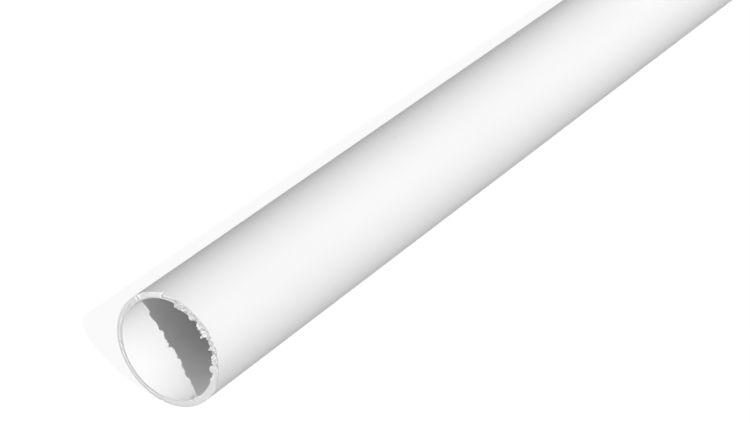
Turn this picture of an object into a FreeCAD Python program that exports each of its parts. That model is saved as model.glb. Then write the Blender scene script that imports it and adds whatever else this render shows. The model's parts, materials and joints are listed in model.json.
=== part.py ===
# Rigid PVC conduit: one straight, plain-ended length of extruded white tube.
#
# The tube lies on a level floor, its axis along X, with the origin on the floor under its middle.
# The end at -X is the one that was sawn off by hand. Its rim is left square and sharp.
# The end at +X is as the factory cuts it: square, with the edge broken inside and outside.
import FreeCAD, Part
import os

import Sketcher

NODE_FOLDER = "parts"

# Sizes in millimetres. Each is set once here and read by name everywhere else.
SIZES = [
    ("outer_diameter", 25.0, "outside of the tube, the size that couplings and saddles fit"),
    ("wall_thickness", 1.5, "wall, from the ring seen at the cut end"),
    ("stock_length", 2000.0, "one length as sold"),
    ("edge_break", 0.3, "chamfer on both edges of the factory-cut end"),
]


def make_sheet(doc):
    """The spreadsheet of driving sizes: name, value and meaning, one row each."""
    sheet = doc.addObject("Spreadsheet::Sheet", "dims")
    for row, (name, value, meaning) in enumerate(SIZES, start=1):
        sheet.set(f"A{row}", name)
        sheet.set(f"B{row}", str(value))
        sheet.setAlias(f"B{row}", name)
        sheet.set(f"C{row}", meaning)
    doc.recompute()
    return sheet


def origin_plane(body, role):
    """The body's own origin plane with that role, such as YZ_Plane."""
    return next(f for f in body.Origin.OriginFeatures if f.Role == role)


def add_circle(sketch, radius, formula, name):
    """A full circle about the sketch's origin, its radius bound to a formula of the sheet's sizes."""
    origin_point = (-1, 1)
    centre_of_circle = 3
    circle = sketch.addGeometry(Part.Circle(FreeCAD.Vector(), FreeCAD.Vector(0, 0, 1), radius), False)
    sketch.addConstraint(Sketcher.Constraint("Coincident", circle, centre_of_circle, *origin_point))
    bound = sketch.addConstraint(Sketcher.Constraint("Radius", circle, radius))
    sketch.renameConstraint(bound, name)
    sketch.setExpression(f"Constraints.{name}", formula)


def edges_at_end(shape, x):
    """Names of the round edges that lie in the plane at x, in the body's own frame."""
    tolerance = 1e-6
    return [
        f"Edge{number}"
        for number, edge in enumerate(shape.Edges, start=1)
        if isinstance(edge.Curve, Part.Circle) and abs(edge.Curve.Center.x - x) < tolerance
    ]


def make_conduit(doc, sheet):
    """The tube: its ring section, extruded both ways from the middle, with one end's edges broken."""
    body = doc.addObject("PartDesign::Body", "Conduit")
    body.Label = "conduit_pipe"

    section = body.newObject("Sketcher::SketchObject", "RingSection")
    section.AttachmentSupport = [(origin_plane(body, "YZ_Plane"), "")]
    section.MapMode = "FlatFace"
    outer_radius = sheet.outer_diameter / 2
    bore_radius = outer_radius - sheet.wall_thickness
    add_circle(section, outer_radius, "dims.outer_diameter / 2", "outside_radius")
    add_circle(section, bore_radius, "dims.outer_diameter / 2 - dims.wall_thickness", "bore_radius")

    extrusion = body.newObject("PartDesign::Pad", "Extrusion")
    extrusion.Profile = section
    extrusion.SideType = "Symmetric"
    extrusion.setExpression("Length", "dims.stock_length")
    doc.recompute()

    factory_edges = edges_at_end(extrusion.Shape, sheet.stock_length / 2)
    edge_break = body.newObject("PartDesign::Chamfer", "FactoryEdgeBreak")
    edge_break.Base = (extrusion, factory_edges)
    edge_break.setExpression("Size", "dims.edge_break")
    body.Tip = edge_break

    # The tube rests on the floor, so its axis lies one outside radius above it.
    body.setExpression("Placement.Base.z", "dims.outer_diameter / 2")
    doc.recompute()
    return body


def check_document(doc, bodies):
    """Stops if any object failed to compute, or a sub-part has no sound solid."""
    for thing in doc.Objects:
        if {"Invalid", "Error"} & set(thing.State):
            raise RuntimeError(f"{thing.Label} did not compute: {thing.State}")
    for body in bodies:
        shape = body.Shape
        if shape.isNull() or not shape.isValid() or len(shape.Solids) != 1:
            raise RuntimeError(f"{body.Label} is not one valid solid")


def write_steps(bodies):
    """Writes each sub-part's solid to its own STEP file, named by its label."""
    os.makedirs(NODE_FOLDER, exist_ok=True)
    for body in bodies:
        body.Shape.exportStep(os.path.join(NODE_FOLDER, body.Label + ".step"))
        box = body.Shape.BoundBox
        print(
            f"{body.Label}: {box.XLength:.2f} x {box.YLength:.2f} x {box.ZLength:.2f} mm, "
            f"lowest {box.ZMin:.3f}, volume {body.Shape.Volume:.0f} mm3"
        )


def main():
    doc = FreeCAD.newDocument("conduit")
    sheet = make_sheet(doc)
    bodies = [make_conduit(doc, sheet)]
    check_document(doc, bodies)
    write_steps(bodies)


main()
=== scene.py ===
# White rigid PVC conduit: one straight length of extruded tube, sawn by hand at one end.
#
# Round the tube, angles are in degrees: 0 faces +Y, 90 faces up and 180 faces -Y.
# Along it, depth is the distance in from the sawn end, and a height stands out from the cut.
import json
import math

import bmesh
import bpy
import numpy as np
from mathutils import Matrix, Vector


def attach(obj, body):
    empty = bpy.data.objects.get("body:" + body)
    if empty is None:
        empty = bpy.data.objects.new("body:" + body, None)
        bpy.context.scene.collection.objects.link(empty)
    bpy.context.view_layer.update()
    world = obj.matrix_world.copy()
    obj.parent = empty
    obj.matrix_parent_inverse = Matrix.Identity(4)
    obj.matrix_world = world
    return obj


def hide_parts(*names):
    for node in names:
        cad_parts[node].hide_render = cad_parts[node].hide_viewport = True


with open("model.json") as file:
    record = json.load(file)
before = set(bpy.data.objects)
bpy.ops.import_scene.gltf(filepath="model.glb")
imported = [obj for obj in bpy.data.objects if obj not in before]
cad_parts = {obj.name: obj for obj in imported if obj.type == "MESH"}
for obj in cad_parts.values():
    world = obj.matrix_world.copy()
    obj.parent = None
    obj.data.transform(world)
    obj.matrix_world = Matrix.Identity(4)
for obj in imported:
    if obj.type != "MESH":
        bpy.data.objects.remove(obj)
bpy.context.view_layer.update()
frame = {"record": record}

MM = 0.001
MOUNTS = {mount["name"]: mount for mount in frame["record"]["mounts"]}

# The tube's own sizes, in millimetres, and its place in the frame, in metres.
OUTER_RADIUS = MOUNTS["sawn_end_outside"]["dims"]["r_mm"]
BORE_RADIUS = MOUNTS["wire_way"]["dims"]["r_mm"]
SAWN_X = MOUNTS["sawn_end_face"]["pos_m"][0]
FACTORY_X = MOUNTS["factory_end_face"]["pos_m"][0]
AXIS_Z = MOUNTS["sawn_end_outside"]["pos_m"][2]
LENGTH = (FACTORY_X - SAWN_X) / MM
FACTORY_CHAMFER = LENGTH - MOUNTS["wire_way"]["dims"]["length_mm"]

# The lamps: name, strength, spread in degrees, and the way the light goes.
LAMPS = [
    ("key", 2.54, 0.45, (0.4813, 0.6917, -0.5385)),
    ("left_panel", 0.52, 70, (1, -0.7, -0.35)),
    ("front_panel", 0.62, 70, (1, 0, -0.3)),
    ("right_panel", 0.76, 70, (0.7, 1, -0.25)),
    ("ceiling", 0.5, 110, (0, 0, -1)),
    ("back_panel", 0.7, 30, (-1, 0, -0.05)),
]
WORLD_GLOW = 0.02

# The floor: what it throws back, what it shows of shadows, and the white that it shows besides.
FLOOR_BOUNCE = (0.28, 0.28, 0.28)
FLOOR_SHADED = (0.15, 0.15, 0.15)
FLOOR_WHITE = 0.9

# How finely the rim and the plain barrel are divided round the tube.
BARREL_SIDES = 240
SPLIT = 5
RIM_SIDES = BARREL_SIDES * SPLIT
RIM_DEPTH = 3.2

# Rings of the rim: distances in along the outside skin, how many cross the face, and steps behind the teeth.
# Then the gaps between rings where the cut starts, and where the bore does.
SKIN_DISTANCES = (2.6, 1.8, 1.2, 0.8, 0.55, 0.36, 0.22, 0.12, 0.05)
FACE_RINGS = 26
BACK_PARTS = (0.08, 0.25, 0.45, 0.65, 0.83, 1.0)
FIRST_CUT_RING = len(SKIN_DISTANCES)
FIRST_BORE_RING = FIRST_CUT_RING + FACE_RINGS + len(BACK_PARTS) - 1

# How strongly the plastic mirrors its surroundings: less than most plastics do.
SATIN = 0.08

# The tube's materials after the skin, by their places in its list.
CUT, BORE = 1, 2

# The sector that the saw tore as it broke through, and how softly the torn look starts and ends.
TORN_START = 103
TORN_END = 181
TORN_FADE = 5

# How far the ridges of the torn face slant: degrees round the tube for each millimetre outward.
STREAK_SLANT = 4.7

# The way the saw went across the face, as an angle round the tube.
SAW_ANGLE = 50

# Where the inner edge lies at the cut, before the teeth: angle, and millimetres inside the bore's radius.
# Below nothing, the edge has broken away.
INNER_EDGE = [
    (0, -0.06), (42, -0.08), (56, -0.26), (70, -0.38), (99, -0.42), (104, 0.0), (127, 0.0), (130, -0.2),
    (139, 0.0), (149, -0.36), (157, -0.28), (165, -0.22), (178, 0.0), (191, 0.0), (201, 0.04),
    (227, 0.02), (240, 0.0), (300, -0.04),
]

# Teeth of torn plastic on the inner edge: start, tip and end in degrees, then in millimetres how far the
# tip reaches inward and how far it stands out of the cut.
TEETH = [
    (100.8, 102.6, 109.0, 0.48, 0.1), (102.5, 107.0, 110.8, 0.52, 0.12), (108.4, 110.6, 113.0, 0.34, 0.15),
    (112.8, 115.6, 118.6, 0.22, 0.0), (117.8, 120.0, 121.8, 0.16, 0.0), (120.6, 123.6, 127.4, 0.4, 0.2),
    (131.0, 133.6, 136.2, 0.2, 0.42), (133.7, 136.8, 139.2, 0.26, 0.42), (139.6, 142.2, 144.4, 0.22, 0.46),
    (143.6, 146.6, 148.3, 0.9, 0.5), (149.2, 150.9, 152.2, -0.2, 0.1), (152.4, 153.9, 155.8, -0.24, 0.1),
    (158.6, 161.6, 163.5, 0.4, 0.24), (168.0, 171.0, 172.4, 0.22, 0.26), (171.8, 173.4, 175.2, 0.34, 0.26),
    (175.0, 176.9, 178.9, 0.32, 0.2), (194.8, 198.0, 200.9, 0.26, 0.1),
]

# Single flakes and pits on the face: angle, radius, width in degrees, width across, and rise or fall.
SPOTS = [(56.8, 12.1, 1.3, 0.32, 0.16), (53.2, 12.0, 1.1, 0.24, -0.2), (240, 11.15, 1.4, 0.14, -0.16)]

# Shreds of plastic that stand out of the torn face: start and end in degrees, how many, where across the
# wall, from 0 at the outer edge to 1 at the inner one, and the shortest and longest, in millimetres.
SHRED_BANDS = [
    (102, 150, 60, -0.02, 0.4, 0.3, 0.85), (150, 178, 26, -0.02, 0.4, 0.2, 0.6),
    (102, 150, 56, 0.4, 0.8, 0.25, 0.65), (150, 179, 26, 0.4, 0.8, 0.2, 0.5),
    (101, 179, 90, 0.8, 0.98, 0.15, 0.4), (229, 236, 5, 0.9, 1.0, 0.2, 0.4),
]
SHRED_HALF_WIDTHS = (0.07, 0.2)

# How far a shred leans: in towards the middle of the tube, and at random to any side.
SHRED_LEAN = 0.35
SHRED_WANDER = 0.35

# One lobe pushed inward without tearing, and the crumbs left low on the inner edge.
LOBE = (180.0, 186.0, 189.8, 0.86)
CRUMBS = [
    (228.5, 229.7, 231.2, 0.36, 0.1), (230.8, 232.4, 234.0, 0.44, 0.1), (234.2, 235.4, 237.0, 0.26, 0.1),
]


def ease(part):
    """Nothing to one with a soft start and end."""
    part = np.clip(part, 0, 1)
    return part * part * (3 - 2 * part)


def sector(angles, start, end, fade):
    """One between two angles, easing to nothing over the fade outside them."""
    return ease((angles - start + fade) / fade) * ease((end + fade - angles) / fade)


def round_the_rim(knots, angles):
    """Values at the angles, easing from knot to knot right round the rim."""
    at = np.array([knot[0] for knot in knots] + [knots[0][0] + 360.0])
    value = np.array([knot[1] for knot in knots] + [knots[0][1]])
    low = np.searchsorted(at, angles, side="right") - 1
    part = ease((angles - at[low]) / (at[low + 1] - at[low]))
    return value[low] + (value[low + 1] - value[low]) * part


def ragged(angles, pitch, seed):
    """A random wave of -1 to 1 round the rim, with that pitch in degrees."""
    count = round(360 / pitch)
    values = np.random.default_rng(seed).uniform(-1, 1, count)
    place = np.asarray(angles) / 360 * count
    low = np.floor(place).astype(int)
    part = ease(place - low)
    return values[low % count] * (1 - part) + values[(low + 1) % count] * part


def jagged(angles, pitch, seed):
    """A random wave like ragged, but with corners at its turns."""
    count = round(360 / pitch)
    values = np.random.default_rng(seed).uniform(-1, 1, count)
    place = np.asarray(angles) / 360 * count
    low = np.floor(place).astype(int)
    part = place - low
    return values[low % count] * (1 - part) + values[(low + 1) % count] * part


def ragged_face(angles, radii, pitch, step, seed):
    """Random heights of -1 to 1 over the face, pitch degrees apart round it and step millimetres across."""
    row = (OUTER_RADIUS + 1 - radii) / step
    low = np.floor(row).astype(int)
    part = ease(row - low)
    rows = [ragged(angles, pitch, seed + number) for number in range(int(low.max()) + 2)]
    table = np.array(rows)
    column = np.arange(table.shape[1])
    return table[low, column] * (1 - part) + table[low + 1, column] * part


def tooth(angles, start, tip, end, sharpness):
    """One at the tip, nothing at both ends. A low sharpness gives steep sides."""
    sides = np.minimum((angles - start) / (tip - start), (end - angles) / (end - tip))
    return np.clip(sides, 0, 1) ** sharpness


def inner_reach(angles, torn):
    """How far the inner edge stands in from the bore's radius at the cut, in millimetres."""
    base = round_the_rim(INNER_EDGE, angles)
    reach = base.copy()
    for start, tip, end, length, _ in TEETH + CRUMBS:
        reach = np.maximum(reach, base + (length - base) * tooth(angles, start, tip, end, 0.6))
    start, tip, end, length = LOBE
    rounded = np.sqrt(1 - (1 - tooth(angles, start, tip, end, 1.0)) ** 2)
    reach = np.maximum(reach, base + (length - base) * rounded)
    return reach + torn * (0.14 * jagged(angles, 1.5, 11) + 0.08 * jagged(angles, 0.7, 12))


def teeth_rise(angles, torn):
    """How far the inner edge stands out of the cut, in millimetres: ragged where torn, and most at the teeth."""
    rise = 0.16 * torn * np.maximum(jagged(angles, 2.4, 13), 0)
    for start, tip, end, _, stand in TEETH + CRUMBS:
        rise = np.maximum(rise, stand * tooth(angles, start, tip, end, 0.5))
    return rise


def face_height(angles, radii, torn):
    """How far the sawn face stands out from the plane of the cut, in millimetres."""
    height = 0.012 * ragged_face(angles, radii, 1.5, 0.3, 100)

    # The torn face has soft ridges that slant across it, with finer crumble over them.
    slanted = (angles - STREAK_SLANT * (radii - BORE_RADIUS)) % 360
    streaks = ragged_face(slanted, radii, 2.6, 1.6, 200)
    crumble = ragged_face(angles, radii, 1.0, 0.28, 300)
    height = height + torn * (0.1 * streaks + 0.035 * crumble)

    height = height + teeth_rise(angles, torn) * ease((11.8 - radii) / 0.9)

    # On the side where the saw went in, the cut isn't quite square: it falls away outward.
    entry = sector(angles, 298, 400, 20) + sector(angles, -62, 42, 20)
    height = height - 0.13 * entry * (radii - BORE_RADIUS) / (OUTER_RADIUS - BORE_RADIUS)

    # Over the top the outside of the edge has crumbled back.
    crumbled = sector(angles, 58, 85, 3)
    slope = ease((radii - 11.5 + 0.15 * ragged(angles, 3.5, 24)) / 1.2)
    height = height - crumbled * (0.28 + 0.08 * ragged(angles, 5, 25)) * slope
    height = height + crumbled * 0.02 * crumble

    # A sliver of the outer half of the wall stands proud, split from the inner half by a crack.
    sliver = ease((angles - 86.9) / 1.0) * (1 - ease((angles - 88) / 20))
    height = height + sliver * (0.42 - 0.25 * (radii - 12.0)) * ease((radii - 11.97) / 0.1)
    crack = sector(angles, 86, 101, 3)
    height = height - 0.6 * crack * np.exp(-(((radii - 11.82) / 0.15) ** 2))
    notch = np.exp(-(((angles - 85.8) / 0.9) ** 2))
    height = height - 0.4 * notch * ease((radii - 11.4) / 0.3)

    # A small flake next to the crumbled part, and pits beside it and low on the inner edge.
    for angle, radius, wide, across, rise in SPOTS:
        height = height + rise * np.exp(-(((angles - angle) / wide) ** 2) - ((radii - radius) / across) ** 2)

    # The outer edge is turned up into a thin lip on the side where the saw came out.
    lip = sector(angles, 108, 197, 6)
    ridge = 0.19 + torn * (0.06 + 0.1 * jagged(angles, 1.7, 29))
    height = height + ridge * lip * ease((radii - 12.28) / 0.1)

    # Lower down a shallow scored line follows the middle of the wall, where the saw drifted.
    drift = sector(angles, 292, 400, 12) + sector(angles, -60, 38, 12)
    line = 11.72 + 0.1 * ragged(angles, 9, 26)
    score = 0.1 + 0.07 * ragged(angles, 4, 27)
    height = height - score * drift * np.exp(-(((radii - line) / 0.16) ** 2))
    return height + 0.03 * (1 - torn) * ease((BORE_RADIUS + 0.3 - radii) / 0.12)


def outer_edge(angles, torn):
    """The outer edge at the cut: how far it stands outside the tube, and how far back it has broken."""
    wave = ragged(angles, 1.6, 21)
    fine = jagged(angles, 0.7, 22)
    flare = torn * (0.06 + 0.05 * wave + 0.02 * fine)
    set_back = 0.02 + torn * (0.12 + 0.1 * ragged(angles, 2.1, 23) + 0.05 * fine)
    set_back = set_back + sector(angles, 205, 345, 15) * (0.1 + 0.06 * ragged(angles, 6, 28) + 0.03 * fine)
    nick = np.exp(-(((angles - 278.5) / 1.2) ** 2))
    return flare - 0.14 * nick, np.maximum(set_back, 0.01) + 0.1 * nick


def sawn_rim(angles):
    """Rings of (depth, radius) arrays round the sawn end, from the outside over the cut into the bore."""
    torn = sector(angles, TORN_START, TORN_END, TORN_FADE)
    reach = inner_reach(angles, torn)
    flare, set_back = outer_edge(angles, torn)

    # The face of the cut, from the outer edge to the tips of the teeth.
    face = []
    outer = OUTER_RADIUS + flare
    inner = BORE_RADIUS - reach
    for part in (1 - np.cos(np.linspace(0, math.pi, FACE_RINGS))) / 2:
        radii = outer + (inner - outer) * part
        broken = set_back * (1 - part) ** 6
        face.append((broken - face_height(angles, radii, torn), radii))

    # The outside skin, up to the outer edge.
    edge_depth = face[0][0]
    skin = []
    for distance in SKIN_DISTANCES:
        near = np.exp(-distance / 0.3)
        skin.append((np.minimum(edge_depth + distance, RIM_DEPTH - 0.2), OUTER_RADIUS + flare * near))
    rings = skin + face

    # Behind the teeth, back to the bore.
    tip_depth = rings[-1][0]
    root_depth = 0.14 + 0.8 * np.abs(reach)
    for part in BACK_PARTS:
        depth = tip_depth + 0.04 + (root_depth - tip_depth) * part
        rings.append((depth, inner + (BORE_RADIUS - inner) * part))
    for distance in (0.15, 0.4, 0.8, 1.4):
        rings.append((np.minimum(root_depth + 0.04 + distance, RIM_DEPTH - 0.2), BORE_RADIUS))
    return rings


def barrel_depths():
    """Depths of the barrel's rings, close together near the sawn end."""
    near = [RIM_DEPTH, 6.0, 12.0, 25.0, 50.0]
    return near + list(np.arange(100.0, LENGTH - 20, 100.0)) + [LENGTH - 10]


def factory_rim():
    """Pairs of (depth, radius) over the factory-cut end, from the bore to the outside."""
    step = FACTORY_CHAMFER
    return [
        (LENGTH - step, BORE_RADIUS), (LENGTH, BORE_RADIUS + step),
        (LENGTH, OUTER_RADIUS - step), (LENGTH - step, OUTER_RADIUS),
    ]


def ring_points(angles, depth, radius):
    """Points of one ring in the frame, in metres."""
    turn = np.radians(angles)
    depth = np.broadcast_to(depth, angles.shape)
    radius = np.broadcast_to(radius, angles.shape)
    return np.column_stack((
        SAWN_X + depth * MM,
        radius * np.cos(turn) * MM,
        AXIS_Z + radius * np.sin(turn) * MM,
    ))


def quads(first, second, sides):
    """Faces between two rings of as many sides, given their first vertices."""
    return [
        (first + j, second + j, second + (j + 1) % sides, first + (j + 1) % sides)
        for j in range(sides)
    ]


def step_faces(coarse, fine, outward):
    """Faces between a coarse ring and a fine one, several fine sides to each coarse one."""
    faces = []
    for j in range(BARREL_SIDES):
        strip = [fine + (j * SPLIT + k) % RIM_SIDES for k in range(SPLIT + 1)]
        face = [coarse + (j + 1) % BARREL_SIDES, coarse + j] + strip
        faces.append(face if outward else face[::-1])
    return faces


def make_tube():
    """The whole tube as one closed mesh, with the sawn and the factory-cut end."""
    fine_angles = np.arange(RIM_SIDES) * 360.0 / RIM_SIDES
    coarse_angles = np.arange(BARREL_SIDES) * 360.0 / BARREL_SIDES
    points = []
    faces = []
    count = 0

    def add_ring(angles, depth, radius):
        nonlocal count
        first = count
        points.append(ring_points(angles, depth, radius))
        count += len(angles)
        return first

    depths = barrel_depths()
    outside = [add_ring(coarse_angles, depth, OUTER_RADIUS) for depth in reversed(depths)]
    rim = [add_ring(fine_angles, depth, radius) for depth, radius in sawn_rim(fine_angles)]
    inside = [add_ring(coarse_angles, depth, BORE_RADIUS) for depth in depths]
    far_end = [add_ring(coarse_angles, depth, radius) for depth, radius in factory_rim()]

    for first, second in zip(outside, outside[1:]):
        faces += quads(first, second, BARREL_SIDES)
    faces += step_faces(outside[-1], rim[0], True)
    for number, (first, second) in enumerate(zip(rim, rim[1:])):
        if number == FIRST_CUT_RING:
            cut_start = len(faces)
        if number == FIRST_BORE_RING:
            bore_start = len(faces)
        faces += quads(first, second, RIM_SIDES)
    faces += step_faces(inside[0], rim[-1], False)
    for first, second in zip(inside, inside[1:]):
        faces += quads(first, second, BARREL_SIDES)
    bore_end = len(faces)
    closing = inside[-1:] + far_end + outside[:1]
    for first, second in zip(closing, closing[1:]):
        faces += quads(first, second, BARREL_SIDES)

    mesh = bpy.data.meshes.new("conduit_tube")
    mesh.from_pydata(np.concatenate(points).tolist(), [], faces)
    mesh.update()
    slots = np.zeros(len(faces), dtype=int)
    slots[cut_start:bore_start] = CUT
    slots[bore_start:bore_end] = BORE
    mesh.polygons.foreach_set("material_index", slots)
    tube = bpy.data.objects.new("conduit_tube", mesh)
    bpy.context.collection.objects.link(tube)
    return tube


def shred_foot(angle, part):
    """A point on the torn face, and the way in from it to the tube's middle. Part 0 is the outer edge."""
    at = np.array([angle])
    torn = sector(at, TORN_START, TORN_END, TORN_FADE)
    flare, set_back = outer_edge(at, torn)
    outer = OUTER_RADIUS + flare
    inner = BORE_RADIUS - inner_reach(at, torn)
    radius = outer + (inner - outer) * part
    depth = set_back * (1 - part) ** 6 - face_height(at, radius, torn)
    foot = ring_points(at, depth, radius)[0]
    turn = math.radians(angle)
    return foot, np.array([0, -math.cos(turn), -math.sin(turn)])


def shred_axes(random, inward):
    """Three directions at right angles: along the shred, across it and through it."""
    along = np.array([-1.0, 0, 0]) + SHRED_LEAN * inward + random.normal(0, SHRED_WANDER, 3)
    along /= np.linalg.norm(along)
    through = np.cross(along, random.normal(size=3))
    through /= np.linalg.norm(through)
    return np.array([along, np.cross(through, along), through])


def make_burr():
    """The shreds that hang on where the saw broke through, each a small lumpy spindle with its foot sunk in."""
    random = np.random.default_rng(5)
    work = bmesh.new()
    bmesh.ops.create_icosphere(work, subdivisions=1, radius=1)
    corners = np.array([vert.co for vert in work.verts])
    sides = np.array([[vert.index for vert in face.verts] for face in work.faces])
    work.free()
    points = []
    faces = []
    for start, end, count, low_part, high_part, shortest, longest in SHRED_BANDS:
        for angle in random.uniform(start, end, count):
            foot, inward = shred_foot(angle, random.uniform(low_part, high_part))
            half_length = random.uniform(shortest, longest) / 2
            half_width = min(random.uniform(*SHRED_HALF_WIDTHS), half_length)
            size = np.array([half_length, half_width, half_width * random.uniform(0.4, 0.9)])
            lumps = random.uniform(0.7, 1.25, (len(corners), 1))
            axes = shred_axes(random, inward)
            middle = foot + axes[0] * half_length * 0.6 * MM
            faces += (sides + len(corners) * len(points)).tolist()
            points.append(middle + (corners * lumps * size * MM) @ axes)
    mesh = bpy.data.meshes.new("conduit_burr")
    mesh.from_pydata(np.concatenate(points).tolist(), [], faces)
    mesh.update()
    burr = bpy.data.objects.new("conduit_burr", mesh)
    bpy.context.collection.objects.link(burr)
    return burr


def shade_smooth(piece, sharp_over):
    """Smooth shading, with edges kept sharp where two faces meet at more than that many degrees."""
    limit = math.radians(sharp_over)
    work = bmesh.new()
    work.from_mesh(piece.data)
    for face in work.faces:
        face.smooth = True
    for edge in work.edges:
        edge.smooth = edge.calc_face_angle(0.0) < limit
    work.to_mesh(piece.data)
    work.free()


def node_adder(tree):
    """A function that adds a node to the tree, with its settings."""
    def add(kind, **settings):
        node = tree.nodes.new("ShaderNode" + kind)
        for setting, value in settings.items():
            setattr(node, setting, value)
        return node

    return add


def new_material(name):
    """A material with its node tree, its Principled shader and a function that adds a node."""
    material = bpy.data.materials.new(name)
    material.use_nodes = True
    tree = material.node_tree
    return material, tree, tree.nodes["Principled BSDF"], node_adder(tree)


def noise(tree, add, scale, turn=(0, 0, 0), size=1.0, detail=2.0):
    """Noise over the object, stretched by a scale of its own on each axis after a turn."""
    coordinates = add("TexCoord")
    place = add("Mapping", vector_type="TEXTURE")
    place.inputs["Rotation"].default_value = turn
    place.inputs["Scale"].default_value = scale
    pattern = add("TexNoise")
    pattern.inputs["Scale"].default_value = size
    pattern.inputs["Detail"].default_value = detail
    tree.links.new(coordinates.outputs["Object"], place.inputs["Vector"])
    tree.links.new(place.outputs["Vector"], pattern.inputs["Vector"])
    return pattern.outputs["Fac"]


def ramp(tree, add, value, low, high, colours):
    """Colours from a value: the first up to low, the second from high on."""
    node = add("ValToRGB")
    for element, place, colour in zip(node.color_ramp.elements, (low, high), colours):
        element.position = place
        element.color = (*colour, 1)
    tree.links.new(value, node.inputs["Fac"])
    return node.outputs["Color"]


def span(tree, add, value, low, high):
    """A value of 0 to 1 taken to low to high."""
    node = add("MapRange")
    node.inputs["To Min"].default_value = low
    node.inputs["To Max"].default_value = high
    tree.links.new(value, node.inputs["Value"])
    return node.outputs["Result"]


def bump(tree, add, height, depth, under=None):
    """A bump of that depth in metres, over another one if given."""
    node = add("Bump")
    node.inputs["Strength"].default_value = 1.0
    node.inputs["Distance"].default_value = depth
    tree.links.new(height, node.inputs["Height"])
    if under is not None:
        tree.links.new(under, node.inputs["Normal"])
    return node.outputs["Normal"]


def skin_material(name, tones, diffuse_roughness):
    """Extruded white PVC: satin, with faint lines along the tube and a few specks of dirt."""
    material, tree, shader, add = new_material(name)
    shader.inputs["Diffuse Roughness"].default_value = diffuse_roughness
    clouds = noise(tree, add, (0.05, 0.012, 0.012))
    tints = ramp(tree, add, clouds, 0.35, 0.65, [(tone, tone, tone) for tone in tones])

    # A few specks of dirt, each small and faint, far apart.
    cells = add("TexVoronoi")
    cells.inputs["Scale"].default_value = 110
    coordinates = add("TexCoord")
    tree.links.new(coordinates.outputs["Object"], cells.inputs["Vector"])
    near = ramp(tree, add, cells.outputs["Distance"], 0.03, 0.05, ((1, 1, 1), (0, 0, 0)))
    chosen = ramp(tree, add, cells.outputs["Color"], 0.62, 0.66, ((0, 0, 0), (0.6, 0.6, 0.6)))
    both = add("Math", operation="MULTIPLY")
    tree.links.new(near, both.inputs[0])
    tree.links.new(chosen, both.inputs[1])
    specked = add("MixRGB")
    specked.inputs["Color2"].default_value = (0.5, 0.49, 0.47, 1)
    tree.links.new(both.outputs["Value"], specked.inputs["Fac"])
    tree.links.new(tints, specked.inputs["Color1"])
    tree.links.new(specked.outputs["Color"], shader.inputs["Base Color"])
    shader.inputs["Specular IOR Level"].default_value = SATIN

    # Lines that the extruder leaves, many times longer than they are wide.
    lines = noise(tree, add, (0.2, 0.0006, 0.0006))
    grain = noise(tree, add, (0.0005, 0.0005, 0.0005), detail=4.0)
    tree.links.new(span(tree, add, clouds, 0.45, 0.55), shader.inputs["Roughness"])
    ribbed = bump(tree, add, lines, 0.000004)
    tree.links.new(bump(tree, add, grain, 0.000006, under=ribbed), shader.inputs["Normal"])
    return material


def cut_material(name, tones):
    """The sawn face and its shreds: matt, scratched one way by the saw's teeth."""
    material, tree, shader, add = new_material(name)
    across_the_cut = (math.radians(SAW_ANGLE), 0, 0)
    dust = noise(tree, add, (0.0006, 0.0006, 0.0006), detail=4.0)
    tints = ramp(tree, add, dust, 0.3, 0.7, [(tone, tone, tone) for tone in tones])
    tree.links.new(tints, shader.inputs["Base Color"])
    tree.links.new(span(tree, add, dust, 0.65, 0.85), shader.inputs["Roughness"])
    scratches = noise(tree, add, (0.01, 0.006, 0.0003), turn=across_the_cut)
    shader.inputs["Specular IOR Level"].default_value = SATIN
    scored = bump(tree, add, scratches, 0.000015)
    tree.links.new(bump(tree, add, dust, 0.00003, under=scored), shader.inputs["Normal"])
    return material


def look_along(direction):
    """Rotation that points a camera or a lamp along a direction, upright."""
    return Vector(direction).to_track_quat("-Z", "Y")


def make_camera():
    """The photograph's camera: where it stands from the centre of the sawn end, in millimetres."""
    eye = (-375.586, -286.521, 276.905)
    direction = (0.74836, 0.47457, -0.46341)
    camera = bpy.data.objects.new("camera", bpy.data.cameras.new("camera"))
    camera.data.lens = 133.0
    camera.data.sensor_width = 36.0
    camera.data.clip_start = 0.05
    camera.data.clip_end = 200
    camera.location = Vector((SAWN_X, 0, AXIS_Z)) + Vector(eye) * MM
    camera.rotation_mode = "QUATERNION"
    camera.rotation_quaternion = look_along(direction)
    bpy.context.collection.objects.link(camera)
    bpy.context.scene.camera = camera


def make_lamps():
    """The lamps: one small and strong, and large soft ones round it, as a studio's panels are."""
    for name, strength, spread, direction in LAMPS:
        lamp = bpy.data.lights.new(name, "SUN")
        lamp.energy = strength
        lamp.angle = math.radians(spread)
        light = bpy.data.objects.new(name, lamp)
        light.rotation_mode = "QUATERNION"
        light.rotation_quaternion = look_along(direction)
        bpy.context.collection.objects.link(light)


def background_rays(tree, add):
    """One for a ray from the camera, off gloss or through glass, and nothing for the light itself."""
    path = add("LightPath")
    seen = path.outputs["Is Camera Ray"]
    for ray in ("Is Glossy Ray", "Is Transmission Ray"):
        either = add("Math", operation="MAXIMUM")
        tree.links.new(seen, either.inputs[0])
        tree.links.new(path.outputs[ray], either.inputs[1])
        seen = either.outputs["Value"]
    return seen


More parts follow.
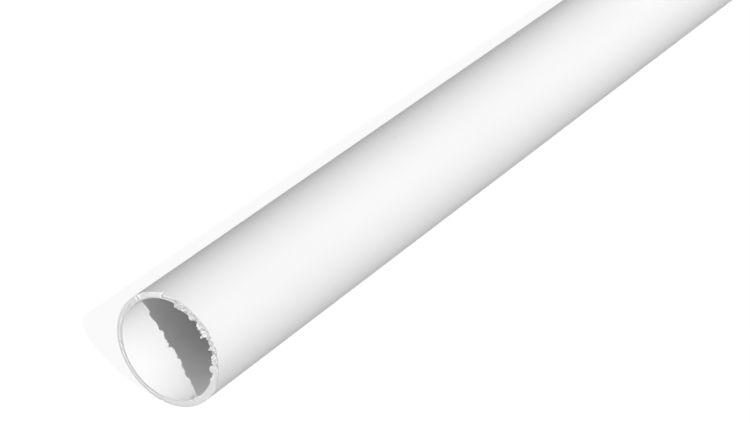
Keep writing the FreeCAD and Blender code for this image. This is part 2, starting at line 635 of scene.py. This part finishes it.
def make_world():
    """An even glow on the object, and a white background."""
    world = bpy.data.worlds.new("world")
    bpy.context.scene.world = world
    world.use_nodes = True
    tree = world.node_tree
    add = node_adder(tree)
    tree.nodes.clear()
    glow = add("Background")
    glow.inputs["Color"].default_value = (1, 1, 1, 1)
    glow.inputs["Strength"].default_value = WORLD_GLOW
    white = add("Background")
    white.inputs["Color"].default_value = (1, 1, 1, 1)
    white.inputs["Strength"].default_value = 1.0
    choose = add("MixShader")
    tree.links.new(background_rays(tree, add), choose.inputs["Fac"])
    tree.links.new(glow.outputs["Background"], choose.inputs[1])
    tree.links.new(white.outputs["Background"], choose.inputs[2])
    tree.links.new(choose.outputs["Shader"], add("OutputWorld").inputs["Surface"])


def floor_material():
    """White to the camera, with a faint shadow, and a pale grey that throws soft light back up."""
    material, tree, shader, add = new_material("floor")
    tree.nodes.remove(shader)
    bounce = add("BsdfDiffuse")
    bounce.inputs["Color"].default_value = (*FLOOR_BOUNCE, 1)
    shaded = add("BsdfDiffuse")
    shaded.inputs["Color"].default_value = (*FLOOR_SHADED, 1)
    white = add("Emission")
    white.inputs["Color"].default_value = (1, 1, 1, 1)
    white.inputs["Strength"].default_value = FLOOR_WHITE
    seen = add("AddShader")
    tree.links.new(shaded.outputs["BSDF"], seen.inputs[0])
    tree.links.new(white.outputs["Emission"], seen.inputs[1])
    choose = add("MixShader")
    tree.links.new(background_rays(tree, add), choose.inputs["Fac"])
    tree.links.new(bounce.outputs["BSDF"], choose.inputs[1])
    tree.links.new(seen.outputs["Shader"], choose.inputs[2])
    tree.links.new(choose.outputs["Shader"], tree.nodes["Material Output"].inputs["Surface"])
    return material


def make_floor():
    """A wide level floor under the tube."""
    size = 60.0
    mesh = bpy.data.meshes.new("floor")
    mesh.from_pydata([(-size, -size, 0), (size, -size, 0), (size, size, 0), (-size, size, 0)], [], [(0, 1, 2, 3)])
    floor = bpy.data.objects.new("floor", mesh)
    bpy.context.collection.objects.link(floor)
    floor.data.materials.append(floor_material())


tube = make_tube()
shade_smooth(tube, 35)
tube.data.materials.append(skin_material("white_pvc_skin", (0.86, 0.875), 0))
tube.data.materials.append(cut_material("white_pvc_cut", (0.8, 0.84)))
# The bore is the same plastic as the skin, given slightly darker tones: painted shade inside the tube.
tube.data.materials.append(skin_material("white_pvc_bore", (0.828, 0.842), 0.22))
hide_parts("conduit_pipe")
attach(tube, "root")

burr = make_burr()
# The shreds are the same plastic as the cut face, given darker tones: painted shade that dims them where they
# catch the light.
burr.data.materials.append(cut_material("white_pvc_shreds", (0.66, 0.72)))
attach(burr, "root")

make_camera()
make_lamps()
make_world()
make_floor()

bpy.context.scene.view_settings.view_transform = "Standard"
